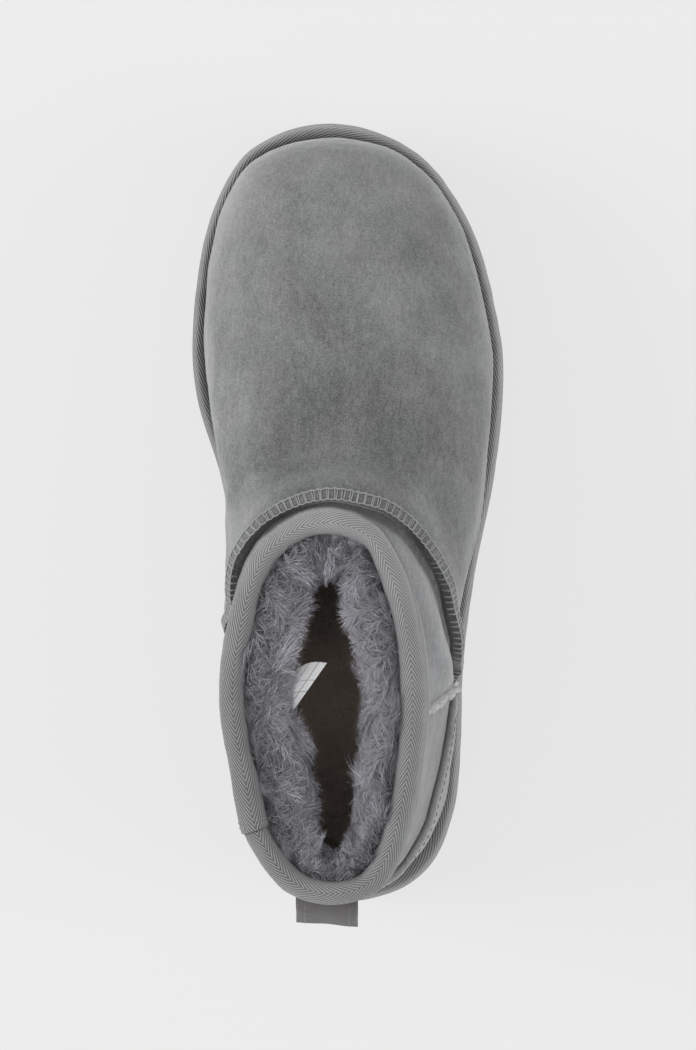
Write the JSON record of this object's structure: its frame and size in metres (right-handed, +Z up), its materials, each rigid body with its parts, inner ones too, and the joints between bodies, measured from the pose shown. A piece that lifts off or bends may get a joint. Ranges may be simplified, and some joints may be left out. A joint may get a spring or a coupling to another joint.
{
  "type": "sheepskin boot",
  "caption": "Low ankle boot for the right foot: wool-lined suede upper, tape-bound collar, heel counter and a flat platform sole wrapped in woven tape.",
  "frame": {"origin": "middle of the bounding box, on the floor under the sole", "axes": "toe towards -Y, heel towards +Y, +Z up, medial (big toe) side towards +X"},
  "size_m": [0.1123, 0.2795, 0.1434],
  "materials": {
    "sole_foam": "matte",
    "woven_tape": "twill weave",
    "suede": "suede nap",
    "wool": "deep wool pile"
  },
  "bodies": {
    "root": {"sole": "sole_foam", "sole_tape": "woven_tape", "upper": "suede", "insole": "wool", "collar_binding": "woven_tape", "heel_counter": "suede", "pull_tab": "woven_tape"}
  },
  "joints": []
}
